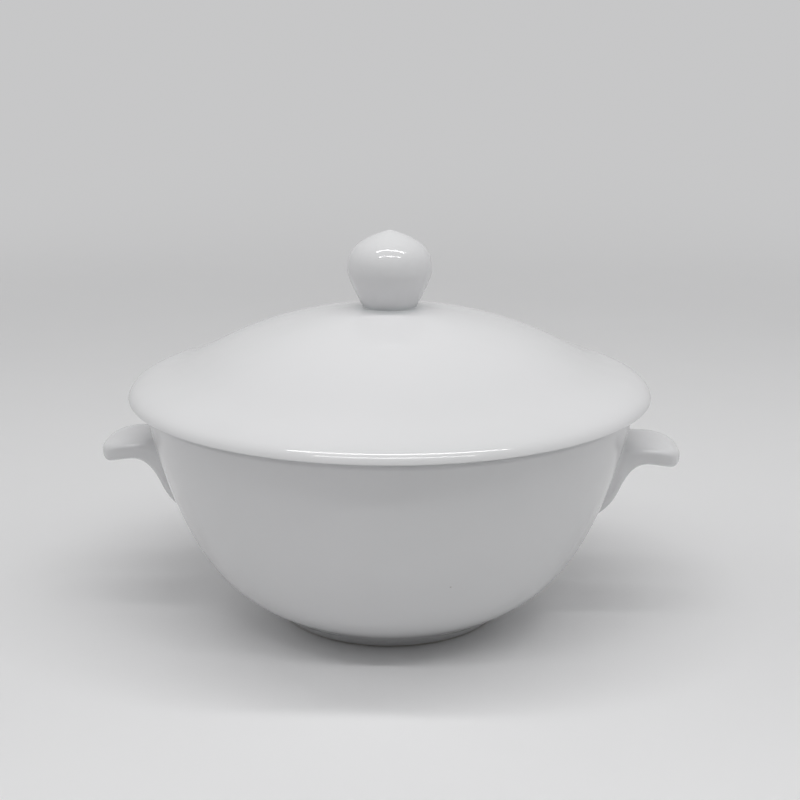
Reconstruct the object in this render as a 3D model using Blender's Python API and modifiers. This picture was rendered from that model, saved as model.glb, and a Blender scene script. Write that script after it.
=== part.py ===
"""Lidded stewing cup in white glazed porcelain.

A turned bowl stands on a low foot ring and carries two lug handles under its rim.  A domed lid drops into the
bowl's mouth by a flange, overhangs the rim, and lifts off by a pointed ball knob.
Metres, +Z up.  The origin is on the cup's axis at table height, and the handles point along X.
"""

from math import atan2, cos, pi, radians, sin

import bmesh
import bpy
from mathutils import Vector
from mathutils.geometry import interpolate_bezier

# Fits between pieces
JOINT_GAP = 0.0003            # between pieces that sit on or against each other
FLANGE_CLEARANCE = 0.0008     # lid flange to the inside of the mouth, all round

# Bowl
BOWL_HEIGHT = 0.0550          # table to the top of the rim
RIM_RADIUS = 0.0588           # outside of the wall where the rim's rounding starts
BOWL_WALL = 0.0028
RIM_LEAN = radians(12)        # the wall's lean from upright at the rim
BELLY_CLIMB = radians(35)     # the wall's climb from level where it leaves the foot
BELLY_PULL = (0.166, 0.76)    # how long the belly curve holds its foot and rim directions
FLOOR_THICKNESS = 0.0034
FLOOR_FLAT_RADIUS = 0.0100    # level middle of the inside
FLOOR_SWEEP_HEIGHT = 0.0080   # above the inside floor, where its sweep has become the wall
FLOOR_PULL = (0.40, 0.35)

# Foot ring under the bowl
FOOT_RADIUS = 0.0273          # outside, at the table
FOOT_HEIGHT = 0.0021          # table to the crease under the belly
FOOT_FLARE = 0.0014           # the ring is this much wider at the crease than at the table
FOOT_WIDTH = 0.0030
FOOT_ROUNDING = 0.0005
FOOT_RECESS = 0.0019          # table to the underside inside the ring

# Lid
LID_OVERHANG = 0.0037         # lid edge past the bowl's rim radius
LID_EDGE = 0.0025             # thickness of the rounded edge
LID_WALL = 0.0029
LID_RISE = 0.0204             # underside of the edge to the crown under the knob
LID_SHOULDER_INSET = 0.01625  # lid edge in to the shoulder, where the dome turns into the brim
LID_SHOULDER_RISE = 0.0093    # underside of the edge to the shoulder
LID_CROWN_FALL = radians(9)   # the surface's fall from level beside the knob
LID_SHOULDER_FALL = radians(29)
LID_EDGE_FALL = radians(27)
DOME_PULL = (0.354, 0.392)
BRIM_PULL = (0.32, 0.30)
FLANGE_DEPTH = 0.0048         # the flange reaches this far below the lid's seat
FLANGE_WALL = 0.0024

# Knob
KNOB_HEIGHT = 0.0184          # crown of the lid to the tip
KNOB_RADIUS = 0.0101
KNOB_WIDEST_HEIGHT = 0.0091
KNOB_NECK_RADIUS = 0.0067
KNOB_NECK_HEIGHT = 0.0007
KNOB_BASE_RADIUS = 0.0070     # small flare on the lid
KNOB_TIP_FALL = radians(15)
KNOB_TAPER = radians(63)      # climb of the sides above the neck, from level
KNOB_TOP_PULL = (0.59, 0.32)
KNOB_SIDE_PULL = (0.28, 0.06)
KNOB_FLARE_PULL = (0.33, 0.33)

# Lug handles
HANDLE_REACH = 0.0116         # tip past the bowl's rim radius
HANDLE_DROP = 0.0094          # rim down to the top of the lug at the wall
HANDLE_DROOP = 0.0054         # top of the lug at the wall down to the tip
HANDLE_THICKNESS = 0.0053
HANDLE_WIDTH = 0.0250         # across the top of the lug, before its sides round over
HANDLE_TOP_FALL = radians(7)
HANDLE_TOP_PULL = (0.61, 0.18)
HANDLE_HOLLOW_PULL = (0.60, 0.60)
HANDLE_TIP_PULL = (0.40, 0.42)
HANDLE_UNDER_FALL = radians(11)
HANDLE_TAIL_DEPTH = 0.0031    # how far the tail stands off the bowl's wall
HANDLE_TAIL_LENGTH = 0.0186   # underside of the lug at the wall down to the tail's end
HANDLE_TAIL_WIDTH = 0.0100
HANDLE_TAIL_CLIMB = radians(25)
HANDLE_TAIL_PULL = (0.30, 0.45)
HANDLE_ROOT_DEPTH = 0.0030    # the blank runs this far into the wall before it is cut to fit
LUG_ROUNDNESS = 2.5           # exponent of the oval sections: 2 is an ellipse, more is boxier

# Facets: steps round the axis, and points along each curve
BODY_STEPS = 64
KNOB_STEPS = 40
BELLY_POINTS = 15
FLOOR_POINTS = 7
DOME_POINTS = 10
BRIM_POINTS = 6
EDGE_POINTS = 7               # half round a rounded edge
CORNER_POINTS = 3             # a quarter round a small corner
KNOB_TOP_POINTS = 9
KNOB_SIDE_POINTS = 7
KNOB_FLARE_POINTS = 4
LUG_TAIL_POINTS = 6
LUG_HOLLOW_POINTS = 8
LUG_TIP_POINTS = 6
LUG_SECTION_POINTS = 24       # round one section of the lug
MERGE_DISTANCE = 0.00001

GLAZE_COLOUR = (0.72, 0.72, 0.73, 1.0)
GLAZE_ROUGHNESS = 0.08

LEVEL_OUT = 0.0
LEVEL_IN = pi
UPRIGHT = pi / 2


def at(radius, height):
    """A point of a profile, which lies in the XZ plane."""
    return Vector((radius, 0.0, height))


def heading(angle):
    """Unit direction in the profile plane, measured from the outward level direction."""
    return at(cos(angle), sin(angle))


def sweep(start, start_angle, end, end_angle, pull, count):
    """A smooth curve that leaves start and reaches end at the given angles.

    The two pulls are how far the curve holds each direction, in chords.
    """
    chord = (end - start).length
    leave = start + heading(start_angle) * chord * pull[0]
    arrive = end - heading(end_angle) * chord * pull[1]
    return interpolate_bezier(start, leave, arrive, end, count)


def arc(centre, radius, start, end, count):
    """Points on a circle in the profile plane, from one angle to another."""
    angles = [start + (end - start) * i / (count - 1) for i in range(count)]
    return [centre + heading(angle) * radius for angle in angles]


def offset(points, distance):
    """The curve moved sideways, to the left of its direction of travel."""
    moved = []
    for i, point in enumerate(points):
        before = points[max(i - 1, 0)]
        after = points[min(i + 1, len(points) - 1)]
        along = (after - before).normalized()
        moved.append(point + at(-along.z, along.x) * distance)
    return moved


def height_to_radius(curve, height):
    """The radius of a rising curve at a height."""
    for low, high in zip(curve, curve[1:]):
        if low.z <= height <= high.z:
            return low.x + (high.x - low.x) * (height - low.z) / (high.z - low.z)
    return curve[0].x if height < curve[0].z else curve[-1].x


def belly():
    """Outside of the bowl from the crease above the foot up to the rim's rounding."""
    foot_crease = at(FOOT_RADIUS + FOOT_FLARE, FOOT_HEIGHT)
    rim_end = at(RIM_RADIUS, BOWL_HEIGHT - BOWL_WALL / 2 * (1 + sin(RIM_LEAN)))
    return sweep(foot_crease, BELLY_CLIMB, rim_end, UPRIGHT - RIM_LEAN, BELLY_PULL, BELLY_POINTS)


def bowl_inside():
    """Inside of the bowl from its axis up to the rim: a level floor that sweeps into an even wall."""
    floor_height = FOOT_RECESS + FLOOR_THICKNESS
    wall = offset(belly(), BOWL_WALL)
    upper = [point for point in wall if point.z > floor_height + FLOOR_SWEEP_HEIGHT]
    climb = upper[1] - upper[0]
    floor_edge = at(FLOOR_FLAT_RADIUS, floor_height)
    climb_angle = atan2(climb.z, climb.x)
    floor_sweep = sweep(floor_edge, LEVEL_OUT, upper[0], climb_angle, FLOOR_PULL, FLOOR_POINTS)
    return [at(0.0, floor_height)] + floor_sweep + upper[1:]


def bowl_profile():
    """Inside floor, up over the rim, down the belly and round the foot ring to the underside."""
    inside = bowl_inside()
    outside = belly()
    rim_centre = (inside[-1] + outside[-1]) / 2
    rim_radius = (inside[-1] - outside[-1]).length / 2
    rim = arc(rim_centre, rim_radius, LEVEL_IN - RIM_LEAN, -RIM_LEAN, EDGE_POINTS)
    outer_corner = at(FOOT_RADIUS - FOOT_ROUNDING, FOOT_ROUNDING)
    inner_corner = at(FOOT_RADIUS - FOOT_WIDTH + FOOT_ROUNDING, FOOT_ROUNDING)
    ring = arc(outer_corner, FOOT_ROUNDING, LEVEL_OUT, -UPRIGHT, CORNER_POINTS)
    ring += arc(inner_corner, FOOT_ROUNDING, -UPRIGHT, -LEVEL_IN, CORNER_POINTS)
    underside = [at(FOOT_RADIUS - FOOT_WIDTH, FOOT_RECESS), at(0.0, FOOT_RECESS)]
    return inside[:-1] + rim + outside[-2::-1] + ring + underside


def lid_top():
    """Upper surface of the lid from the knob's seat over the dome and brim to the edge's rounding."""
    lid_radius = RIM_RADIUS + LID_OVERHANG
    seat_edge = at(KNOB_BASE_RADIUS, LID_RISE)
    shoulder = at(lid_radius - LID_SHOULDER_INSET, LID_SHOULDER_RISE)
    edge_centre = at(lid_radius - LID_EDGE / 2, LID_EDGE / 2)
    edge_start = edge_centre + heading(UPRIGHT - LID_EDGE_FALL) * LID_EDGE / 2
    dome = sweep(seat_edge, -LID_CROWN_FALL, shoulder, -LID_SHOULDER_FALL, DOME_PULL, DOME_POINTS)
    brim = sweep(shoulder, -LID_SHOULDER_FALL, edge_start, -LID_EDGE_FALL, BRIM_PULL, BRIM_POINTS)
    return dome + brim[1:], edge_centre


def mouth_radius(depth):
    """Inside radius of the bowl at a depth below its rim."""
    return height_to_radius(bowl_inside(), BOWL_HEIGHT - depth)


def lid_profile():
    """Crown to edge, along the seat, down and up the flange, and back under the dome; zero is the seat."""
    top, edge_centre = lid_top()
    edge = arc(edge_centre, LID_EDGE / 2, UPRIGHT - LID_EDGE_FALL, -UPRIGHT, EDGE_POINTS)
    flange_outside = mouth_radius(FLANGE_DEPTH + JOINT_GAP) - FLANGE_CLEARANCE
    flange_inside = flange_outside - FLANGE_WALL
    toe_centre = at(flange_outside - FLANGE_WALL / 2, FLANGE_WALL / 2 - FLANGE_DEPTH)
    toe = arc(toe_centre, FLANGE_WALL / 2, LEVEL_OUT, -LEVEL_IN, EDGE_POINTS)
    inside = [point for point in offset(top, -LID_WALL) if KNOB_BASE_RADIUS < point.x < flange_inside]
    vault = at(0.0, LID_RISE - LID_WALL)
    return [at(0.0, LID_RISE)] + top[:-1] + edge + [at(flange_outside, 0.0)] + toe + inside[::-1] + [vault]


def knob_profile():
    """Tip to widest, down the tapering side to the neck, and the small flare that sits on the lid."""
    tip = at(0.0, KNOB_HEIGHT)
    widest = at(KNOB_RADIUS, KNOB_WIDEST_HEIGHT)
    neck = at(KNOB_NECK_RADIUS, KNOB_NECK_HEIGHT)
    base = at(KNOB_BASE_RADIUS, JOINT_GAP)
    taper = -LEVEL_IN + KNOB_TAPER
    top = sweep(tip, -KNOB_TIP_FALL, widest, -UPRIGHT, KNOB_TOP_PULL, KNOB_TOP_POINTS)
    side = sweep(widest, -UPRIGHT, neck, taper, KNOB_SIDE_PULL, KNOB_SIDE_POINTS)
    flare = sweep(neck, taper, base, -KNOB_TAPER / 2, KNOB_FLARE_PULL, KNOB_FLARE_POINTS)
    return top + side[1:] + flare[1:] + [at(0.0, JOINT_GAP)]


def glaze(name):
    """White porcelain glaze."""
    material = bpy.data.materials.new(name)
    material.use_nodes = True
    shader = material.node_tree.nodes["Principled BSDF"]
    shader.inputs["Base Color"].default_value = GLAZE_COLOUR
    shader.inputs["Roughness"].default_value = GLAZE_ROUGHNESS
    shader.inputs["Metallic"].default_value = 0.0
    return material


def add(name, mesh, collection):
    """An object for a mesh, in its collection."""
    piece = bpy.data.objects.new(name, mesh)
    collection.objects.link(piece)
    return piece


def turned(name, profile, steps, collection):
    """A solid turned about Z from a profile that runs down its outer side."""
    mesh = bpy.data.meshes.new(name)
    mesh.from_pydata(profile, [(i, i + 1) for i in range(len(profile) - 1)], [])
    piece = add(name, mesh, collection)
    screw = piece.modifiers.new("turn", "SCREW")
    screw.axis = "Z"
    screw.angle = 2 * pi
    screw.steps = steps
    screw.render_steps = steps
    screw.use_merge_vertices = True
    screw.merge_threshold = MERGE_DISTANCE
    screw.use_smooth_shade = True
    return piece


def lug_rails():
    """The lug's upper and lower outline on its middle plane, from inside the wall to the tip."""
    wall = belly()
    top_height = BOWL_HEIGHT - HANDLE_DROP
    tail_height = top_height - HANDLE_THICKNESS - HANDLE_TAIL_LENGTH
    root_radius = height_to_radius(wall, tail_height) - HANDLE_ROOT_DEPTH
    tip = at(RIM_RADIUS + HANDLE_REACH, top_height - HANDLE_DROOP)
    waist_height = tail_height + HANDLE_TAIL_LENGTH / 2
    waist = at(height_to_radius(wall, waist_height) + HANDLE_TAIL_DEPTH, waist_height)
    run = height_to_radius(wall, waist_height + HANDLE_THICKNESS) - height_to_radius(wall, waist_height)
    waist_angle = atan2(HANDLE_THICKNESS, run)
    underside = tip - at(HANDLE_THICKNESS, HANDLE_THICKNESS) / 2
    root_top = at(root_radius, top_height)
    root_bottom = at(root_radius, tail_height)
    tail = sweep(root_bottom, HANDLE_TAIL_CLIMB, waist, waist_angle, HANDLE_TAIL_PULL, LUG_TAIL_POINTS)
    hollow = sweep(waist, waist_angle, underside, -HANDLE_UNDER_FALL, HANDLE_HOLLOW_PULL, LUG_HOLLOW_POINTS)
    end = sweep(underside, -HANDLE_UNDER_FALL, tip, UPRIGHT, HANDLE_TIP_PULL, LUG_TIP_POINTS)
    lower = tail + hollow[1:] + end[1:]
    upper = sweep(root_top, -HANDLE_TOP_FALL, tip, -UPRIGHT, HANDLE_TOP_PULL, len(lower))
    return upper, lower


def signed_power(value, power):
    """A power that keeps the sign of its base."""
    return abs(value) ** power * (1 if value >= 0 else -1)


def lug_mesh(name):
    """The lug's blank: oval sections lofted between its rails, broad above and narrow at the tail."""
    upper, lower = lug_rails()
    wall_radius = height_to_radius(belly(), upper[0].z)
    tip = upper[-1]
    mesh = bpy.data.meshes.new(name)
    blank = bmesh.new()
    rings = []
    for top, bottom in zip(upper[:-1], lower[:-1]):
        middle = (top + bottom) / 2
        half_height = (top - bottom) / 2
        out = min(max((middle.x - wall_radius) / (tip.x - wall_radius), 0.0), 1.0)
        half_width = HANDLE_WIDTH / 2 * (1 - out ** LUG_ROUNDNESS) ** (1 / LUG_ROUNDNESS)
        narrowing = (1 - HANDLE_TAIL_WIDTH / HANDLE_WIDTH) * (1 - out)
        ring = []
        for i in range(LUG_SECTION_POINTS):
            turn = 2 * pi * i / LUG_SECTION_POINTS
            rise = signed_power(sin(turn), 2 / LUG_ROUNDNESS)
            side = signed_power(cos(turn), 2 / LUG_ROUNDNESS)
            breadth = half_width * (1 - narrowing * (1 - rise) / 2)
            ring.append(blank.verts.new(middle + half_height * rise + Vector((0.0, breadth * side, 0.0))))
        rings.append(ring)
    for ring, after in zip(rings, rings[1:]):
        for i in range(LUG_SECTION_POINTS):
            j = (i + 1) % LUG_SECTION_POINTS
            blank.faces.new((ring[i], ring[j], after[j], after[i]))
    point = blank.verts.new(tip)
    for i in range(LUG_SECTION_POINTS):
        blank.faces.new((rings[-1][i], rings[-1][(i + 1) % LUG_SECTION_POINTS], point))
    blank.faces.new(rings[0][::-1])
    bmesh.ops.recalc_face_normals(blank, faces=blank.faces)
    blank.to_mesh(mesh)
    blank.free()
    mesh.shade_smooth()
    return mesh


def bowl_cutter(collection):
    """The bowl's outside, one joint gap larger, to cut the lugs to the wall."""
    outside = offset(belly(), -JOINT_GAP)
    profile = [at(0.0, outside[-1].z)] + outside[::-1] + [at(0.0, outside[0].z)]
    cutter = turned("bowl_outside_cutter", profile, BODY_STEPS, collection)
    cutter.hide_render = True
    cutter.display_type = "WIRE"
    return cutter


def new_collection(name):
    """A collection in the scene."""
    collection = bpy.data.collections.new(name)
    bpy.context.scene.collection.children.link(collection)
    return collection


def clear_scene():
    """Empties the scene of objects."""
    for thing in list(bpy.data.objects):
        bpy.data.objects.remove(thing)


def build():
    """Every piece of the cup in its resting place."""
    clear_scene()
    parts = new_collection("lidded_stewing_cup")
    cutters = new_collection("cutters")

    bowl = turned("bowl", bowl_profile(), BODY_STEPS, parts)
    bowl.data.materials.append(glaze("bowl_glaze"))

    cutter = bowl_cutter(cutters)
    lug = lug_mesh("lug")
    lug.materials.append(glaze("handle_glaze"))
    for name, turn in (("handle_right", 0.0), ("handle_left", pi)):
        handle = add(name, lug, parts)
        handle.rotation_euler.z = turn
        fit = handle.modifiers.new("fit_to_wall", "BOOLEAN")
        fit.operation = "DIFFERENCE"
        fit.solver = "EXACT"
        fit.object = cutter

    lid_axis = add("lid_lift_axis", None, parts)
    lid_axis.location.z = BOWL_HEIGHT + JOINT_GAP
    lid = turned("lid", lid_profile(), BODY_STEPS, parts)
    lid.data.materials.append(glaze("lid_glaze"))
    lid.parent = lid_axis

    knob = turned("lid_knob", knob_profile(), KNOB_STEPS, parts)
    knob.data.materials.append(glaze("knob_glaze"))
    knob.location.z = LID_RISE
    knob.parent = lid_axis


build()
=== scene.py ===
# %% [markdown]
# # A lidded stewing cup
# The cup is white porcelain under a clear, glossy glaze: a round bowl on a low foot ring, a lug handle on
# each side, and a domed lid with a pointed ball knob. The working model gives every piece its place, its
# size and its motion, in flat facets. A glaze that mirrors the room shows each facet, so this lesson
# models the five pieces again as smooth skins in the same places, glazes them, and sets them on a table
# under soft lamps.

# %% Load the working model
from math import atan2, cos, degrees, pi, radians, sin

import bmesh
import bpy
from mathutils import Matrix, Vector
from mathutils.geometry import interpolate_bezier


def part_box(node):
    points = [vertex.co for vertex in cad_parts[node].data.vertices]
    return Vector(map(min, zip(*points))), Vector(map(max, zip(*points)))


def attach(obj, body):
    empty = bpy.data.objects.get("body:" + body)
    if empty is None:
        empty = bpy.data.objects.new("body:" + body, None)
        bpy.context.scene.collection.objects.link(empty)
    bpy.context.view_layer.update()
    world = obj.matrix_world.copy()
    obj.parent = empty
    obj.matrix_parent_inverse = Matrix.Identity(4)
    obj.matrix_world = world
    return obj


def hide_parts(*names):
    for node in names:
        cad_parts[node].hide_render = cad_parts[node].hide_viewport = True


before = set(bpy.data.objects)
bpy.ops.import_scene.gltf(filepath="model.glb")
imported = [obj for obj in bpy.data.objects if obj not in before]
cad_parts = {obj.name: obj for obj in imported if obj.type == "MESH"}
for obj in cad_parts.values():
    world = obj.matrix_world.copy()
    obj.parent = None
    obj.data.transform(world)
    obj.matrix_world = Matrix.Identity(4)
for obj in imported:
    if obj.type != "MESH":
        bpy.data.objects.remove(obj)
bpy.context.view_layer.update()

MM = 0.001
print("pieces of the working model:", sorted(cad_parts))

# %% [markdown]
# ## The camera
# The viewpoint decides which details matter, so it comes first. The cup is seen from a little above, close
# up and almost square on, with the right handle a touch nearer. The distance and the lens belong together:
# a longer lens from further away would flatten the lid's oval. The cup stands slightly left of the middle,
# and a small lens shift does that without turning the camera.

# %% Place the camera
CAMERA_DISTANCE = 328.8 * MM
CAMERA_HEIGHT = 141.7 * MM
CAMERA_AZIMUTH = radians(2.2)
CAMERA_DIP = radians(15.18)
LENS_LENGTH = 63.0
SENSOR_WIDTH = 36.0
LENS_SHIFT = 0.0129
NEAREST_SEEN = 10 * MM

bpy.ops.object.select_all(action="DESELECT")
bpy.ops.object.camera_add(
    location=(CAMERA_DISTANCE * sin(CAMERA_AZIMUTH), -CAMERA_DISTANCE * cos(CAMERA_AZIMUTH), CAMERA_HEIGHT),
    rotation=(pi / 2 - CAMERA_DIP, 0.0, CAMERA_AZIMUTH),
)
camera = bpy.context.object
camera.data.lens = LENS_LENGTH
camera.data.sensor_width = SENSOR_WIDTH
camera.data.shift_x = LENS_SHIFT
camera.data.clip_start = NEAREST_SEEN
bpy.context.scene.camera = camera
print("camera at", [round(value, 4) for value in camera.location])

# %% [markdown]
# ## Drawing an outline
# A potter shapes bowls, lids and knobs by turning, so each of them is known by half of its cross-section.
# The outlines here are made of a few smooth curves. Each curve is told where it starts and ends, in which
# direction it leaves and arrives, and how long it holds those directions. That is closer to how a profile
# is judged by eye than a table of points would be. Angles are in degrees: 0 points away from the axis and
# 90 points up.

# %% Outline helpers
def spot(radius, height):
    """A point of an outline, which is drawn in the XZ plane."""
    return Vector((radius, 0.0, height))


def toward(angle):
    """A step of length one in that plane."""
    return spot(cos(radians(angle)), sin(radians(angle)))


def curve(start, leave, end, arrive, hold, count):
    """A smooth curve between two points; hold is how far it keeps each direction, in chords."""
    chord = (end - start).length
    return interpolate_bezier(
        start, start + toward(leave) * chord * hold[0], end - toward(arrive) * chord * hold[1], end, count)


def rounding(centre, radius, first, last, count):
    """Points on an arc from one angle to another."""
    return [centre + toward(first + (last - first) * i / (count - 1)) * radius for i in range(count)]


def beside(points, distance):
    """The same curve moved sideways, to the left of its direction of travel."""
    moved = []
    for i, point in enumerate(points):
        along = (points[min(i + 1, len(points) - 1)] - points[max(i - 1, 0)]).normalized()
        moved.append(point + spot(-along.z, along.x) * distance)
    return moved


def eased(points, middle, reach, rounds):
    """The same curve with its bend evened out around one of its points."""
    even = list(points)
    for _ in range(rounds):
        inner = [(before + here * 2 + after) / 4 for before, here, after in zip(even, even[1:], even[2:])]
        even = even[:1] + inner + even[-1:]
    shares = [cos(pi / 2 * min((point - middle).length / reach, 1.0)) ** 2 for point in points]
    return [point.lerp(target, share) for point, target, share in zip(points, even, shares)]


def radius_at(points, height):
    """The radius of a rising curve at a height."""
    for low, high in zip(points, points[1:]):
        if low.z <= height <= high.z:
            return low.x + (high.x - low.x) * (height - low.z) / (high.z - low.z)
    return points[0].x if height < points[0].z else points[-1].x


# %% [markdown]
# ## Turning a piece
# An outline could be swept round with a Screw modifier. Here it is done as by hand: one vertex is extruded
# from point to point, its sharp corners are bevelled, because glaze never leaves a knife edge, and the
# line is spun round the cup's axis. A spin leaves doubled points where it closes and on the axis, so they
# are merged, and only then are the faces turned outwards.

# %% Turning helpers
WELD = 0.002 * MM
BEVEL_SEGMENTS = 5


def pick(piece, wanted):
    """Selects the vertices of a piece in edit mode for which wanted(place) is true."""
    bpy.ops.mesh.select_all(action="DESELECT")
    shape = bmesh.from_edit_mesh(piece.data)
    for vertex in shape.verts:
        vertex.select = wanted(vertex.co)
    shape.select_flush_mode()
    bmesh.update_edit_mesh(piece.data)


def draw_line(name, points):
    """A new piece in edit mode: one vertex, extruded from point to point."""
    bpy.ops.object.select_all(action="DESELECT")
    bpy.ops.mesh.primitive_plane_add(size=MM)
    piece = bpy.context.object
    piece.name = piece.data.name = name
    bpy.ops.object.mode_set(mode="EDIT")
    bpy.ops.mesh.select_mode(type="VERT")
    bpy.ops.mesh.select_all(action="SELECT")
    bpy.ops.mesh.merge(type="CENTER")
    bpy.ops.transform.translate(value=points[0])
    for here, there in zip(points, points[1:]):
        bpy.ops.mesh.extrude_region_move(TRANSFORM_OT_translate={"value": there - here})
    return piece


def turn_piece(name, outline, soft_corners, steps):
    """A closed piece, turned about the cup's axis; soft_corners pairs corners with bevel sizes."""
    piece = draw_line(name, outline)
    for corner, size in soft_corners:
        pick(piece, lambda place: (place - corner).length < WELD)
        bpy.ops.mesh.bevel(offset=size, segments=BEVEL_SEGMENTS, affect="VERTICES")
    bpy.ops.mesh.select_all(action="SELECT")
    bpy.ops.mesh.spin(steps=steps, angle=2 * pi, center=(0, 0, 0), axis=(0, 0, 1))
    bpy.ops.mesh.select_all(action="SELECT")
    bpy.ops.mesh.remove_doubles(threshold=WELD)
    bpy.ops.mesh.normals_make_consistent(inside=False)
    bpy.ops.object.mode_set(mode="OBJECT")
    bpy.ops.object.shade_smooth()
    return piece


def describe(piece):
    """Prints how large a piece came out."""
    size = ", ".join(f"{side / MM:.1f}" for side in piece.dimensions)
    print(f"{piece.name}: {size} mm, {len(piece.data.polygons)} faces")


# %% [markdown]
# ## The bowl
# The wall leaves the foot at a low angle, fills out into a round belly and stands nearly upright at the
# rim. Inside it keeps the same thickness down to a level floor. Half a sphere would be a quicker start,
# but it would be too narrow near the foot and too upright at the rim. The height of the rim comes from the
# working model, and the curves are drawn again with many more points.

# %% Draw the bowl's wall
BOWL_WALL = 2.8 * MM
RIM_RADIUS = 58.8 * MM
RIM_LEAN = 12
BELLY_CLIMB = 35
BELLY_HOLD = (0.166, 0.76)
BELLY_POINTS = 64
FLOOR_HEIGHT = 5.3 * MM
FLOOR_FLAT = 10.0 * MM
FLOOR_HOLD = (0.40, 0.35)
FLOOR_POINTS = 24
SWEEP_TOP = 14.5 * MM
FOOT_CREASE = spot(28.7 * MM, 2.1 * MM)

rim_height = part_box("bowl")[1].z
rim_end = spot(RIM_RADIUS, rim_height - BOWL_WALL / 2 * (1 + sin(radians(RIM_LEAN))))
belly = curve(FOOT_CREASE, BELLY_CLIMB, rim_end, 90 - RIM_LEAN, BELLY_HOLD, BELLY_POINTS)

wall_inside = [point for point in beside(belly, BOWL_WALL) if point.z > SWEEP_TOP]
climb = wall_inside[1] - wall_inside[0]
wall_angle = degrees(atan2(climb.z, climb.x))
floor_start = spot(FLOOR_FLAT, FLOOR_HEIGHT)
floor_sweep = curve(floor_start, 0, wall_inside[0], wall_angle, FLOOR_HOLD, FLOOR_POINTS)
bowl_inside = floor_sweep + wall_inside[1:]
print("bowl wall:", len(belly), "points outside,", len(bowl_inside), "inside")

# %% [markdown]
# The rim is a half round between the two sides of the wall. Underneath, a low ring lifts the floor off the
# table, and its corners are soft because the glaze was wiped off the ring before firing. The ring could be
# a piece of its own, but on the real bowl it is turned from the same clay, so it is part of the outline
# and leaves no seam.

# %% Add the rim and the foot, and turn the bowl
RIM_POINTS = 17
FOOT_RADIUS = 27.3 * MM
FOOT_WIDTH = 3.0 * MM
FOOT_RECESS = 1.9 * MM
FOOT_SOFT = 0.5 * MM
CREASE_SOFT = 0.5 * MM
RECESS_SOFT = 0.8 * MM
TURNS = 160

rim_centre = (bowl_inside[-1] + rim_end) / 2
rim = rounding(rim_centre, BOWL_WALL / 2, 180 - RIM_LEAN, -RIM_LEAN, RIM_POINTS)
foot_outside = spot(FOOT_RADIUS, 0.0)
foot_inside = spot(FOOT_RADIUS - FOOT_WIDTH, 0.0)
recess_corner = spot(foot_inside.x, FOOT_RECESS)
bowl_outline = (
    [spot(0.0, FLOOR_HEIGHT)] + bowl_inside[:-1] + rim + belly[-2::-1]
    + [foot_outside, foot_inside, recess_corner, spot(0.0, FOOT_RECESS)])
bowl_corners = [
    (FOOT_CREASE, CREASE_SOFT),
    (foot_outside, FOOT_SOFT),
    (foot_inside, FOOT_SOFT),
    (recess_corner, RECESS_SOFT),
]
bowl = turn_piece("bowl_skin", bowl_outline, bowl_corners, TURNS)
describe(bowl)

# %% [markdown]
# ## The lid
# From the crown the lid falls slowly, turns over a broad shoulder and runs out in a hollow brim to a
# rounded edge. Such an S-curve is an ogee. One long curve could draw it, but two are easier to steer: the
# dome down to the shoulder, and the brim from there. Where they meet the bend changes its side, and a
# mirror shows a sudden change as a kink, so the two curves are evened out there.

# %% Draw the top of the lid
LID_GAP = 0.3 * MM
CROWN_RADIUS = 7.0 * MM
CROWN_FALL = -9
DOME_HOLD = (0.354, 0.392)
DOME_POINTS = 40
SHOULDER_INSET = 16.25 * MM
SHOULDER_RISE = 8.7 * MM
SHOULDER_FALL = -29
SHOULDER_REACH = 10.0 * MM
SHOULDER_ROUNDS = 12
BRIM_HOLD = (0.44, 0.25)
BRIM_POINTS = 18
EDGE_ROLL = 1.8 * MM
EDGE_RISE = 2.8 * MM
EDGE_FALL = -30

lid_low, lid_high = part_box("lid")
lid_radius = lid_high.x
crown_height = lid_high.z
seat_height = rim_height + LID_GAP
crown = spot(CROWN_RADIUS, crown_height)
shoulder = spot(lid_radius - SHOULDER_INSET, seat_height + SHOULDER_RISE)
edge_start = spot(lid_radius - EDGE_ROLL, seat_height + EDGE_RISE)
dome = curve(crown, CROWN_FALL, shoulder, SHOULDER_FALL, DOME_HOLD, DOME_POINTS)
brim = curve(shoulder, SHOULDER_FALL, edge_start, EDGE_FALL, BRIM_HOLD, BRIM_POINTS)
lid_top = eased(dome + brim[1:], shoulder, SHOULDER_REACH, SHOULDER_ROUNDS)
print("top of the lid:", len(lid_top), "points")

# %% [markdown]
# The edge rolls over to a level seat that rests on the rim, and a flange drops into the mouth, which keeps
# the lid from sliding off. A flat underside would be simpler, but it would show as soon as the lid is
# lifted. So the inside is a vault that follows the outside at an even thickness, because a wall of uneven
# thickness cracks in the kiln.

# %% Add the edge, the seat, the flange and the vault, and turn the lid
EDGE_LIFT = 0.5 * MM
EDGE_STEEP = -78
EDGE_HOLD = (0.38, 0.36)
EDGE_POINTS = 18
EDGE_SOFT = 0.3 * MM
SEAT_WIDTH = 3.0 * MM
SEAT_SOFT = 0.6 * MM
FLANGE_CLEARANCE = 0.8 * MM
FLANGE_WALL = 2.4 * MM
TOE_POINTS = 15
LID_WALL = 2.9 * MM
VAULT_INSET = 1.0 * MM
VAULT_DROP = 0.6 * MM
VAULT_SOFT = 0.9 * MM

edge_corner = spot(lid_radius, seat_height + EDGE_LIFT)
seat_edge = spot(lid_radius - SEAT_WIDTH, seat_height)
lid_edge = curve(edge_start, EDGE_FALL, edge_corner, EDGE_STEEP, EDGE_HOLD, EDGE_POINTS) + [seat_edge]

flange_outside = radius_at(bowl_inside, lid_low.z) - FLANGE_CLEARANCE
flange_inside = flange_outside - FLANGE_WALL
seat_corner = spot(flange_outside, seat_height)
toe_centre = spot(flange_outside - FLANGE_WALL / 2, lid_low.z + FLANGE_WALL / 2)
toe = rounding(toe_centre, FLANGE_WALL / 2, 0, -180, TOE_POINTS)

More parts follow.
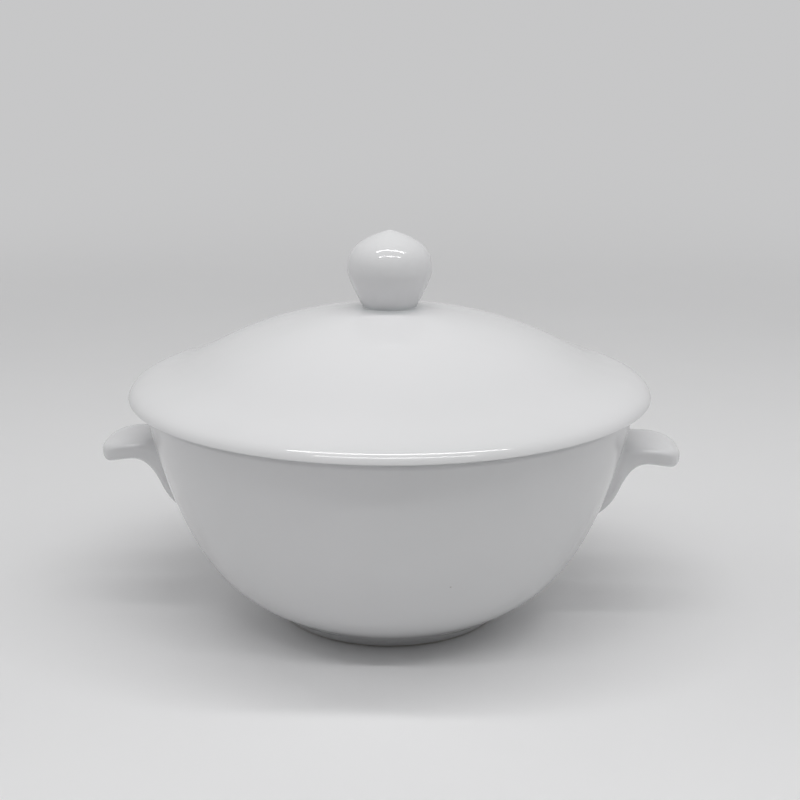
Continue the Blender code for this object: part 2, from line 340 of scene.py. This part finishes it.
vault_end = flange_inside - VAULT_INSET
vault = [point for point in beside(lid_top, -LID_WALL) if CROWN_RADIUS < point.x < vault_end]
vault_corner = spot(flange_inside, vault[-1].z - VAULT_DROP)
lid_outline = (
    [spot(0.0, crown_height)] + lid_top[:-1] + lid_edge + [seat_corner] + toe
    + [vault_corner] + vault[::-1] + [spot(0.0, crown_height - LID_WALL)])
lid_corners = [
    (edge_corner, EDGE_SOFT),
    (seat_edge, SEAT_SOFT),
    (seat_corner, SEAT_SOFT),
    (vault_corner, VAULT_SOFT),
]
lid = turn_piece("lid_skin", lid_outline, lid_corners, TURNS)
describe(lid)

# %% [markdown]
# ## The knob
# The knob is an onion: a small point on top, a full round, and sides that taper to a neck. A stretched
# ball would come close, but it has neither the point nor the neck, so the knob is turned as well. It was
# cast by itself and stuck on with wet clay, and the glaze ran into the joint. So the neck ends in a small
# hollow skirt that meets the lid without an edge. The skirt goes slightly into the lid, where the two
# skins hide each other's ends.

# %% Draw and turn the knob
KNOB_WIDEST_RISE = 9.1 * MM
KNOB_TIP_FALL = -15
KNOB_TAPER = 63
KNOB_TOP_HOLD = (0.59, 0.32)
KNOB_TOP_POINTS = 36
KNOB_SIDE_HOLD = (0.28, 0.06)
KNOB_SIDE_POINTS = 24
NECK_RADIUS = 6.5 * MM
NECK_RISE = 0.35 * MM
SKIRT_RADIUS = 7.5 * MM
SKIRT_SINK = 0.12 * MM
SKIRT_HOLD = (0.50, 0.45)
SKIRT_POINTS = 14
HIDDEN_DEPTH = 0.3 * MM
KNOB_TURNS = 112

knob_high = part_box("lid_knob")[1]
knob_tip = spot(0.0, knob_high.z)
knob_widest = spot(knob_high.x, crown_height + KNOB_WIDEST_RISE)
neck = spot(NECK_RADIUS, crown_height + NECK_RISE)
skirt = spot(SKIRT_RADIUS, crown_height - SKIRT_SINK)
knob_outline = (
    curve(knob_tip, KNOB_TIP_FALL, knob_widest, -90, KNOB_TOP_HOLD, KNOB_TOP_POINTS)
    + curve(knob_widest, -90, neck, KNOB_TAPER - 180, KNOB_SIDE_HOLD, KNOB_SIDE_POINTS)[1:]
    + curve(neck, KNOB_TAPER - 180, skirt, CROWN_FALL, SKIRT_HOLD, SKIRT_POINTS)[1:]
    + [spot(0.0, skirt.z - HIDDEN_DEPTH)])
knob = turn_piece("knob_skin", knob_outline, [], KNOB_TURNS)
describe(knob)

# %% [markdown]
# ## The lug handles
# A lug is a solid tongue of porcelain. Its top arches out to a rounded tip that droops a little, and its
# underside is a hollow for the fingers that sweeps down the wall into a narrow tail. A cube rounded by
# subdivision would be quick, but hard to steer. The side view is known best, so two rails are drawn there,
# one along the top and one along the underside. Both start inside the bowl's wall and have the same number
# of points, so that each pair of points spans one section of the lug.

# %% Draw the lug's rails
LUG_DROP = 9.4 * MM
LUG_DROOP = 5.4 * MM
LUG_THICKNESS = 5.3 * MM
ROOT_DEPTH = 3.0 * MM
TOP_FALL = -7
TOP_HOLD = (0.61, 0.18)
TAIL_LENGTH = 19.0 * MM
TAIL_DEPTH = 3.5 * MM
TAIL_CLIMB = 25
TAIL_HOLD = (0.30, 0.45)
TAIL_POINTS = 41
HOLLOW_HOLD = (0.60, 0.60)
HOLLOW_POINTS = 57
UNDER_FALL = -11
TIP_HOLD = (0.40, 0.42)
TIP_POINTS = 41

lug_top = rim_height - LUG_DROP
tail_end = lug_top - LUG_THICKNESS - TAIL_LENGTH
waist_height = tail_end + TAIL_LENGTH / 2
waist = spot(radius_at(belly, waist_height) + TAIL_DEPTH, waist_height)
wall_run = radius_at(belly, waist_height + LUG_THICKNESS) - radius_at(belly, waist_height)
waist_climb = degrees(atan2(LUG_THICKNESS, wall_run))
root = radius_at(belly, tail_end) - ROOT_DEPTH
lug_tip = spot(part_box("handle_right")[1].x, lug_top - LUG_DROOP)
lip = lug_tip - spot(LUG_THICKNESS, LUG_THICKNESS) / 2

lower_rail = (
    curve(spot(root, tail_end), TAIL_CLIMB, waist, waist_climb, TAIL_HOLD, TAIL_POINTS)
    + curve(waist, waist_climb, lip, UNDER_FALL, HOLLOW_HOLD, HOLLOW_POINTS)[1:]
    + curve(lip, UNDER_FALL, lug_tip, 90, TIP_HOLD, TIP_POINTS)[1:])
upper_rail = curve(spot(root, lug_top), TOP_FALL, lug_tip, -90, TOP_HOLD, len(lower_rail))
print("lug rails:", len(upper_rail), "points each")

# %% [markdown]
# Between the rails the lug is skinned with boxy oval sections, broad above and narrow at the tail, which
# shrink to nothing at the tip. No single ring can be scaled from one to the next, so the skin is thought
# of as lines instead, each running from inside the wall to the tip at its own angle round the lug.

# %% Lay lines along the lug
LUG_WIDTH = 21.4 * MM
TAIL_SHARE = 0.4
PLAN_OVAL = 2.8
SECTION_OVAL = 3.3
ROUND_POINTS = 48


def squared(value):
    """A sine or cosine, flattened so that an ellipse becomes a boxier oval."""
    return abs(value) ** (2 / SECTION_OVAL) * (1 if value >= 0 else -1)


def lug_line(around):
    """A line along the lug at an angle round it, from inside the wall to the tip."""
    rise = squared(sin(around))
    side = squared(cos(around))
    wall = radius_at(belly, lug_top)
    line = []
    for top, bottom in zip(upper_rail, lower_rail):
        middle = (top + bottom) / 2
        out = min(max((middle.x - wall) / (lug_tip.x - wall), 0.0), 1.0)
        half_width = LUG_WIDTH / 2 * (1 - out ** PLAN_OVAL) ** (1 / PLAN_OVAL)
        breadth = half_width * (1 - (1 - TAIL_SHARE) * (1 - out) * (1 - rise) / 2)
        line.append(middle + (top - bottom) / 2 * rise + Vector((0.0, breadth * side, 0.0)))
    return line


lines = [lug_line(2 * pi * turn / ROUND_POINTS) for turn in range(ROUND_POINTS)]
print("lug lines:", len(lines), "of", len(lines[0]), "points")

# %% [markdown]
# Where the lug was stuck on, a fillet of slip and glaze fills the corner. A bevel can't round the joint of
# two separate skins, so the lug's own lines make the fillet. Each line starts a little to the side on the
# wall, turns up in a curve that aims at the true corner, and only then follows the lug.

# %% Start the lines with a fillet
FILLET = 0.7 * MM
FILLET_SINK = 0.06 * MM
FILLET_AIM = 2 / 3
FILLET_POINTS = 16


def off_wall(place):
    """How far a point stands off the bowl's wall, measured level."""
    return place.xy.length - radius_at(belly, place.z)


def crossing(line, distance):
    """Where a line comes to stand a distance off the wall."""
    for here, there in zip(line, line[1:]):
        near, far = off_wall(here), off_wall(there)
        if near <= distance < far:
            return here.lerp(there, (distance - near) / (far - near))


corners = [crossing(line, 0.0) for line in lines]
for turn, line in enumerate(lines):
    corner = corners[turn]
    along_joint = corners[(turn + 1) % ROUND_POINTS] - corners[turn - 1]
    aside = along_joint.cross(Vector((corner.x, corner.y, 0.0))).normalized()
    foot = corner + aside * FILLET
    foot.xy = foot.xy.normalized() * (radius_at(belly, foot.z) - FILLET_SINK)
    top = crossing(line, FILLET)
    fillet = interpolate_bezier(
        foot, foot.lerp(corner, FILLET_AIM), top.lerp(corner, FILLET_AIM), top, FILLET_POINTS)
    lines[turn] = fillet + [place for place in line if off_wall(place) > FILLET]
print("the lug's joint is", round((corners[0] - corners[ROUND_POINTS // 2]).length / MM, 1), "mm wide")

# %% [markdown]
# The skin itself is a flat grid that is rolled up. One of its coordinates says which line a point lies on
# and the other how far along it is. The points crowd at the fillet and at the tip, where the skin turns
# fastest. Merging closes the seam and the tip, a face closes the end in the wall, and subdivision smooths
# the rest.

# %% Roll a grid into the lug
ALONG_POINTS = 44
CROWDING = 0.7


def walk(points, share):
    """The point at a share of the way along a line."""
    lengths = [(there - here).length for here, there in zip(points, points[1:])]
    left = share * sum(lengths)
    for here, there, length in zip(points, points[1:], lengths):
        if left <= length and length > 0:
            return here.lerp(there, left / length)
        left -= length
    return points[-1]


bpy.ops.object.select_all(action="DESELECT")
bpy.ops.mesh.primitive_grid_add(x_subdivisions=ALONG_POINTS, y_subdivisions=ROUND_POINTS, size=1.0)
lug = bpy.context.object
lug.name = lug.data.name = "lug_skin_right"
for vertex in lug.data.vertices:
    turn = round((vertex.co.y + 0.5) * ROUND_POINTS) % ROUND_POINTS
    even = vertex.co.x + 0.5
    crowded = (1 - cos(pi * even)) / 2
    vertex.co = walk(lines[turn], even + (crowded - even) * CROWDING)
bpy.ops.object.mode_set(mode="EDIT")
bpy.ops.mesh.select_mode(type="VERT")
bpy.ops.mesh.select_all(action="SELECT")
bpy.ops.mesh.remove_doubles(threshold=WELD)
bpy.ops.mesh.select_all(action="DESELECT")
bpy.ops.mesh.select_non_manifold()
bpy.ops.mesh.edge_face_add()
bpy.ops.mesh.select_all(action="SELECT")
bpy.ops.mesh.normals_make_consistent(inside=False)
bpy.ops.object.mode_set(mode="OBJECT")
smooth = lug.modifiers.new("smooth", "SUBSURF")
smooth.levels = smooth.render_levels = 1
bpy.ops.object.modifier_apply(modifier=smooth.name)
bpy.ops.object.shade_smooth()
describe(lug)

# %% [markdown]
# The left lug is the same casting turned half round. It is a copy with its own mesh, and its turn is
# applied, so that its place is in its mesh like that of every other piece.

# %% Copy the lug to the other side
bpy.ops.object.duplicate()
left_lug = bpy.context.object
left_lug.name = left_lug.data.name = "lug_skin_left"
left_lug.rotation_euler.z = pi
bpy.ops.object.transform_apply(location=True, rotation=True, scale=True)
describe(left_lug)

# %% [markdown]
# ## Riding on the working model
# Each skin stands for one node of the working model and moves with that node's body: the bowl and its lugs
# stay on the table, and the knob goes up with the lid. Each row also lists a slot of the part's record,
# which this cell does not use.

# %% Hang each skin on its body
skins = [
    (bowl, "bowl", "bowl_body", "bowl_porcelain"),
    (lug, "handle_right", "bowl_body", "handle_porcelain"),
    (left_lug, "handle_left", "bowl_body", "handle_porcelain"),
    (lid, "lid", "lid_body", "lid_porcelain"),
    (knob, "lid_knob", "lid_body", "knob_porcelain"),
]
for skin, node, body, slot in skins:
    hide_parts(node)
    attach(skin, body)
    print(skin.name, "stands for", node, "on", body)

# %% [markdown]
# ## What glaze looks like
# Good white porcelain is almost plain, and what gives it away as real is small. Its surface is a mirror
# with a slow ripple, because the melted glaze never lies quite flat. The white is a little uneven over the
# width of a hand. Now and then a speck or a pinhole breaks it. Glaze runs into creases and looks cooler
# where it is thick, and there the colour is also painted darker, as painted shade in the crease. Where it
# was wiped off, the bare body is matt and slightly warm. A painted picture could hold all this, but it
# would have to be wrapped round each piece, so nodes work it out instead. A few helpers keep the wiring
# short.

# %% Node helpers
MIX_SHARE, MIX_FIRST, MIX_SECOND, MIX_RESULT = 0, 6, 7, 2  # the Mix node's sockets for colours


def add_node(tree, kind, inputs=(), **settings):
    """A new node with its settings and some of its inputs; an input given as a socket is linked."""
    made = tree.nodes.new(kind)
    for name, value in settings.items():
        setattr(made, name, value)
    for name, value in dict(inputs).items():
        if isinstance(value, bpy.types.NodeSocket):
            tree.links.new(value, made.inputs[name])
        else:
            made.inputs[name].default_value = value
    return made


def fade(tree, value, span, start=0.0, end=1.0):
    """A smooth change from start to end while value goes from the first of span to the last."""
    ends = {"From Min": span[0], "From Max": span[1], "To Min": start, "To Max": end}
    made = add_node(tree, "ShaderNodeMapRange", {"Value": value, **ends}, interpolation_type="SMOOTHSTEP")
    return made.outputs["Result"]


def blend(tree, share, first, second):
    """A colour between two others."""
    colours = {MIX_SHARE: share, MIX_FIRST: first, MIX_SECOND: second}
    return add_node(tree, "ShaderNodeMix", colours, data_type="RGBA").outputs[MIX_RESULT]


def math_node(tree, operation, first, second):
    """A sum, product or the like of two values."""
    return add_node(tree, "ShaderNodeMath", {0: first, 1: second}, operation=operation).outputs[0]


def cloud(tree, place, scale, detail):
    """Soft random values between 0 and 1."""
    pattern = {"Vector": place, "Scale": scale, "Detail": detail}
    return add_node(tree, "ShaderNodeTexNoise", pattern).outputs["Fac"]


# %% [markdown]
# ## The glaze group
# All five skins share the glaze, so it is one node group that works in the object's own coordinates, in
# metres. It takes a white, a mask of where the glaze is thick and the crease gets painted shade, and a mask
# of where the glaze is missing. First come its sockets and the patterns: slow clouds for the tone, quicker
# ones for the ripple, fine ones for the peel, and specks, which are the middles of a few cells drawn by
# lot.

# %% Open the glaze group and lay its patterns
PORCELAIN_WHITE = (0.80, 0.80, 0.81, 1.0)
TONE_SCALE = 20.0
RIPPLE_SCALE = 130.0
PEEL_SCALE = 700.0
SPECK_SCALE = 55.0
SPECK_SIZE = 0.016
SPECK_RARITY = 0.80

glaze_skin = bpy.data.node_groups.new("glaze_skin", "ShaderNodeTree")
# The second socket takes the mask of thick glaze, whose grey is also painted shade in the creases.
for name, kind, start in (
    ("White", "NodeSocketColor", PORCELAIN_WHITE),
    ("Pool_and_shade", "NodeSocketFloat", 0.0),
    ("Bare", "NodeSocketFloat", 0.0),
):
    glaze_skin.interface.new_socket(name=name, in_out="INPUT", socket_type=kind).default_value = start
for name, kind in (
    ("Colour", "NodeSocketColor"),
    ("Roughness", "NodeSocketFloat"),
    ("Height", "NodeSocketFloat"),
):
    glaze_skin.interface.new_socket(name=name, in_out="OUTPUT", socket_type=kind)
given = add_node(glaze_skin, "NodeGroupInput").outputs
on_skin = add_node(glaze_skin, "ShaderNodeTexCoord").outputs["Object"]

tone = cloud(glaze_skin, on_skin, TONE_SCALE, detail=3.0)
ripple = cloud(glaze_skin, on_skin, RIPPLE_SCALE, detail=1.0)
peel = cloud(glaze_skin, on_skin, PEEL_SCALE, detail=2.0)
cells = add_node(glaze_skin, "ShaderNodeTexVoronoi", {"Vector": on_skin, "Scale": SPECK_SCALE})
near_middle = fade(glaze_skin, cells.outputs["Distance"], (SPECK_SIZE, SPECK_SIZE / 2))
lot = add_node(glaze_skin, "ShaderNodeSeparateColor", {"Color": cells.outputs["Color"]}).outputs["Red"]
drawn = math_node(glaze_skin, "GREATER_THAN", lot, SPECK_RARITY)
speck = math_node(glaze_skin, "MULTIPLY", near_middle, drawn)
print("glaze patterns:", len(glaze_skin.nodes), "nodes")

# %% [markdown]
# The patterns then become what a shader asks for. The colour is laid on in the order of the real thing:
# the uneven white, the cool tint of thick glaze together with painted shade in the creases, the specks, and
# bare clay where there is no glaze at all. The gloss wavers a little with the tone, and clay is matt. The
# height is for a bump, in which a speck is a dent.

# %% Turn the patterns into colour, roughness and height
COOL_WHITE = (0.775, 0.778, 0.785, 1.0)
COOL_SPAN = (0.35, 0.65)
# Thick glaze is a cooler grey, darkened further to paint the shade that falls in the creases.
THICK_GLAZE_SHADE = (0.66, 0.70, 0.71, 1.0)
THICK_SHADE_SHARE = 0.35
SPECK_COLOUR = (0.26, 0.22, 0.18, 1.0)
SPECK_TINT = 0.4
CLAY_PALE = (0.70, 0.66, 0.61, 1.0)
CLAY_DARK = (0.62, 0.58, 0.53, 1.0)
GLOSS_SPAN = (0.30, 0.70)
GLOSS_BEST = 0.035
GLOSS_LEAST = 0.065
CLAY_MATT = 0.65
PEEL_SHARE = 0.10

cool = fade(glaze_skin, tone, COOL_SPAN)
uneven = blend(glaze_skin, cool, given["White"], COOL_WHITE)
# The thick-glaze mask lays the cool tint and the painted crease shade over the white.
crease_shade_share = math_node(glaze_skin, "MULTIPLY", given["Pool_and_shade"], THICK_SHADE_SHARE)
pooled_and_shaded = blend(glaze_skin, crease_shade_share, uneven, THICK_GLAZE_SHADE)
stain = math_node(glaze_skin, "MULTIPLY", speck, SPECK_TINT)
specked = blend(glaze_skin, stain, pooled_and_shaded, SPECK_COLOUR)
clay = blend(glaze_skin, peel, CLAY_PALE, CLAY_DARK)
colour = blend(glaze_skin, given["Bare"], specked, clay)

gloss = fade(glaze_skin, tone, GLOSS_SPAN, GLOSS_BEST, GLOSS_LEAST)
matt = math_node(glaze_skin, "MULTIPLY", given["Bare"], CLAY_MATT)
roughness = math_node(glaze_skin, "ADD", gloss, matt)

fine = math_node(glaze_skin, "MULTIPLY", peel, PEEL_SHARE)
waves = math_node(glaze_skin, "ADD", ripple, fine)
height = math_node(glaze_skin, "SUBTRACT", waves, speck)
add_node(glaze_skin, "NodeGroupOutput", {"Colour": colour, "Roughness": roughness, "Height": height})
print("glaze group:", len(glaze_skin.nodes), "nodes")

# %% [markdown]
# ## A glaze for each piece
# The group is placed in one material for each kind of piece, which tells it where the glaze is thick, with
# painted shade in the crease there, and where it is missing. On turned pieces that follows from the height:
# a bare standing ring under the bowl and a bare toe on the lid's flange, because both stood on the kiln
# shelf, and thick glaze and painted shade on the lid round the knob's foot and round the knob's neck. On
# the lugs it follows the joint, which no height can tell, so each point of a lug keeps how far it is from
# the wall in an attribute.

# %% Note how far the lugs are from the wall
for piece in (lug, left_lug):
    distances = piece.data.attributes.new("off_wall", "FLOAT", "POINT")
    for vertex, distance in zip(piece.data.vertices, distances.data):
        distance.value = off_wall(vertex.co)
    reach = max(item.value for item in distances.data)
    print(piece.name, "reaches", round(reach / MM, 1), "mm off the wall")

# %% [markdown]
# A mask is a measure, the height or the distance from the wall, and a span over which it goes from 1 to 0.
# The Principled shader could take a second, clear coat for the glaze. One layer is enough on white clay,
# because the mirror on top and the white below already are its two parts.

# %% Mix the materials
GLAZE_IOR = 1.5
RIPPLE_DEPTH = 0.005 * MM


def glaze(name, pool_and_shade, bare):
    """A glazed porcelain, given two masks or None: thick glaze with painted crease shade, and missing
    glaze.
    """
    material = bpy.data.materials.new(name)
    material.use_nodes = True
    tree = material.node_tree
    place = add_node(tree, "ShaderNodeTexCoord").outputs["Object"]
    measures = {
        "height": add_node(tree, "ShaderNodeSeparateXYZ", {0: place}).outputs["Z"],
        "off_wall": add_node(tree, "ShaderNodeAttribute", attribute_name="off_wall").outputs["Fac"],
    }
    skin = add_node(tree, "ShaderNodeGroup", node_tree=glaze_skin)
    for socket, mask in (("Pool_and_shade", pool_and_shade), ("Bare", bare)):
        if mask:
            measure, span = mask
            tree.links.new(fade(tree, measures[measure], span, 1.0, 0.0), skin.inputs[socket])
    shader = tree.nodes["Principled BSDF"]
    shader.inputs["IOR"].default_value = GLAZE_IOR
    bump = add_node(tree, "ShaderNodeBump", {"Height": skin.outputs["Height"], "Distance": RIPPLE_DEPTH})
    tree.links.new(skin.outputs["Colour"], shader.inputs["Base Color"])
    tree.links.new(skin.outputs["Roughness"], shader.inputs["Roughness"])
    tree.links.new(bump.outputs["Normal"], shader.inputs["Normal"])
    return material


bare_ring = ("height", (0.25 * MM, 0.5 * MM))
# These masks lay thick glaze and painted shade into the lug joints, round the knob's foot and on its neck.
lug_joint_pool_shade = ("off_wall", (0.0, 0.5 * MM))
knob_foot_pool_shade = ("height", (crown_height - 0.05 * MM, crown_height - 0.40 * MM))
bare_toe = ("height", (lid_low.z + 0.2 * MM, lid_low.z + 0.5 * MM))
knob_neck_pool_shade = ("height", (crown_height + 0.3 * MM, crown_height + 1.6 * MM))
finishes = [
    ((bowl,), glaze("bowl_glaze", None, bare_ring)),
    ((lug, left_lug), glaze("lug_glaze", lug_joint_pool_shade, None)),
    ((lid,), glaze("lid_glaze", knob_foot_pool_shade, bare_toe)),
    ((knob,), glaze("knob_glaze", knob_neck_pool_shade, None)),
]
for pieces, finish in finishes:
    for piece in pieces:
        piece.data.materials.clear()
        piece.data.materials.append(finish)
print("finishes:", [finish.name for _, finish in finishes])

# %% [markdown]
# ## The table
# The stage is one pale sheet. Two planes would do, but the line between them would show behind the cup. So
# the back edge of one plane is extruded upwards, and the fold gets a wide bevel.

# %% Bend a sheet into a table and backdrop
TABLE_SIZE = 3.0
BACK_EDGE_FORWARD = 0.6
BACKDROP_HEIGHT = 1.6
FOLD_RADIUS = 0.35
FOLD_SEGMENTS = 16

bpy.ops.object.select_all(action="DESELECT")
bpy.ops.mesh.primitive_plane_add(size=TABLE_SIZE)
table = bpy.context.object
table.name = table.data.name = "table"
bpy.ops.object.mode_set(mode="EDIT")
bpy.ops.mesh.select_mode(type="VERT")
pick(table, lambda place: place.y > 0)
bpy.ops.transform.translate(value=(0.0, -BACK_EDGE_FORWARD, 0.0))
bpy.ops.mesh.extrude_region_move(TRANSFORM_OT_translate={"value": (0.0, 0.0, BACKDROP_HEIGHT)})
pick(table, lambda place: place.y > 0 and place.z < MM)
bpy.ops.mesh.bevel(offset=FOLD_RADIUS, segments=FOLD_SEGMENTS, affect="EDGES")
bpy.ops.object.mode_set(mode="OBJECT")
bpy.ops.object.shade_smooth()
print("table:", len(table.data.polygons), "faces")

# %% [markdown]
# The sheet is slightly satin, like a laminate, and a faint mottle keeps it from looking like a flat fill.
# Near the cup it is lit by the lamps and takes the cup's shadow. Further off it fades into one even tone,
# which the room behind it shares, so that no edge shows from any side. More lamps could even it out too,
# but they would wash out the cup. So the far tone is only what the eye and the gloss see, and a Light Path
# node tells that apart from light on its way to a matt surface.

# %% Finish the table
FAR_COLOUR = (0.57, 0.57, 0.575, 1.0)
FAR_SPAN = (0.20, 0.75)
LAMINATE_PALE = (0.84, 0.84, 0.845, 1.0)
LAMINATE_DARK = (0.82, 0.82, 0.825, 1.0)
MOTTLE_SCALE = 14.0
SATIN_SPAN = (0.3, 0.7)
SATIN_BEST = 0.40
SATIN_LEAST = 0.48


def seen_directly(tree):
    """One for what the camera, a mirror or a clear glass sees, and zero for light on matt surfaces."""
    rays = add_node(tree, "ShaderNodeLightPath").outputs
    seen = math_node(tree, "ADD", rays["Is Camera Ray"], rays["Is Glossy Ray"])
    return math_node(tree, "ADD", seen, rays["Is Transmission Ray"])


laminate = bpy.data.materials.new("table_laminate")
laminate.use_nodes = True
tree = laminate.node_tree
on_table = add_node(tree, "ShaderNodeTexCoord").outputs["Object"]
mottle = cloud(tree, on_table, MOTTLE_SCALE, detail=4.0)
shader = tree.nodes["Principled BSDF"]
tree.links.new(blend(tree, mottle, LAMINATE_PALE, LAMINATE_DARK), shader.inputs["Base Color"])
tree.links.new(fade(tree, mottle, SATIN_SPAN, SATIN_BEST, SATIN_LEAST), shader.inputs["Roughness"])

away = add_node(tree, "ShaderNodeVectorMath", {0: on_table}, operation="LENGTH").outputs["Value"]
share = math_node(tree, "MULTIPLY", seen_directly(tree), fade(tree, away, FAR_SPAN))
glow = add_node(tree, "ShaderNodeEmission", {"Color": FAR_COLOUR, "Strength": 1.0})
mixed = add_node(tree, "ShaderNodeMixShader", {0: share, 1: shader.outputs[0], 2: glow.outputs[0]})
tree.links.new(mixed.outputs[0], tree.nodes["Material Output"].inputs["Surface"])
table.data.materials.append(laminate)
print("table finish:", len(tree.nodes), "nodes")

# %% [markdown]
# ## The light
# The cup is lit as in a small photo tent. Two long strips hang over it, one above the lid and one in front.
# They draw the fine lines of light on the lid's edge and the knob that say the surface is wet-smooth, and
# they cast the soft shadow under the belly. A single square lamp would light the cup as well, but its image
# on the glaze would be a window instead of lines. Each strip is tilted towards the lid's crown.

# %% Hang the strips
STRIP_LENGTH = 0.72
STRIP_WIDTH = 0.045
STRIP_HEIGHT = 0.70
STRIP_ASIDE = 0.050
STRIPS = [
    {"name": "strip_back", "forward": 0.072, "watts": 1.64},
    {"name": "strip_front", "forward": 0.390, "watts": 1.49},
]

for strip in STRIPS:
    bpy.ops.object.light_add(
        type="AREA", location=(STRIP_ASIDE, -strip["forward"], STRIP_HEIGHT),
        rotation=(atan2(strip["forward"], STRIP_HEIGHT - crown_height), 0.0, 0.0))
    lamp = bpy.context.object
    lamp.name = lamp.data.name = strip["name"]
    lamp.data.shape = "RECTANGLE"
    lamp.data.size = STRIP_LENGTH
    lamp.data.size_y = STRIP_WIDTH
    lamp.data.energy = strip["watts"]
    print(lamp.name, strip["watts"], "W")

# %% [markdown]
# A dome of light stands for the cloth of the tent: dark low down, so that the gap under the lid and the
# shadow of the foot stay crisp, dim overhead, and brightest halfway up at the left and right, where it
# reaches the lugs under the lid's brim. All of it is kept weak enough that the white lid stays just below
# white. The spans are parts of a direction of length one: Z is 0 at the horizon and 1 straight up.

# %% Light the room
DOME_ZENITH = 0.19
DOME_LEFT = 1.75
DOME_RIGHT = 1.50
OVERHEAD_SPAN = (0.3, 0.9)
LEFT_SPAN = (-0.4, -0.9)
RIGHT_SPAN = (0.4, 0.9)
RAISED_SPAN = (0.25, 0.55)
CLOTH_WHITE = (1.0, 1.0, 1.0, 1.0)

room = bpy.data.worlds.new("room")
bpy.context.scene.world = room
room.use_nodes = True
tree = room.node_tree
direction = add_node(tree, "ShaderNodeTexCoord").outputs["Generated"]
axes = add_node(tree, "ShaderNodeSeparateXYZ", {0: direction}).outputs
overhead = fade(tree, axes["Z"], OVERHEAD_SPAN, 0.0, DOME_ZENITH)
left = fade(tree, axes["X"], LEFT_SPAN, 0.0, DOME_LEFT)
right = fade(tree, axes["X"], RIGHT_SPAN, 0.0, DOME_RIGHT)
sides = math_node(tree, "ADD", left, right)
raised = math_node(tree, "MULTIPLY", sides, fade(tree, axes["Z"], RAISED_SPAN))
sky = tree.nodes["Background"]
sky.inputs["Color"].default_value = CLOTH_WHITE
tree.links.new(math_node(tree, "ADD", overhead, raised), sky.inputs["Strength"])
haze = add_node(tree, "ShaderNodeBackground", {"Color": FAR_COLOUR, "Strength": 1.0})
seen = seen_directly(tree)
mixed = add_node(tree, "ShaderNodeMixShader", {0: seen, 1: sky.outputs[0], 2: haze.outputs[0]})
tree.links.new(mixed.outputs[0], tree.nodes["World Output"].inputs["Surface"])
bpy.context.scene.view_settings.view_transform = "Standard"
print("a dome of", DOME_ZENITH, "overhead,", DOME_LEFT, "at the left and", DOME_RIGHT, "at the right")
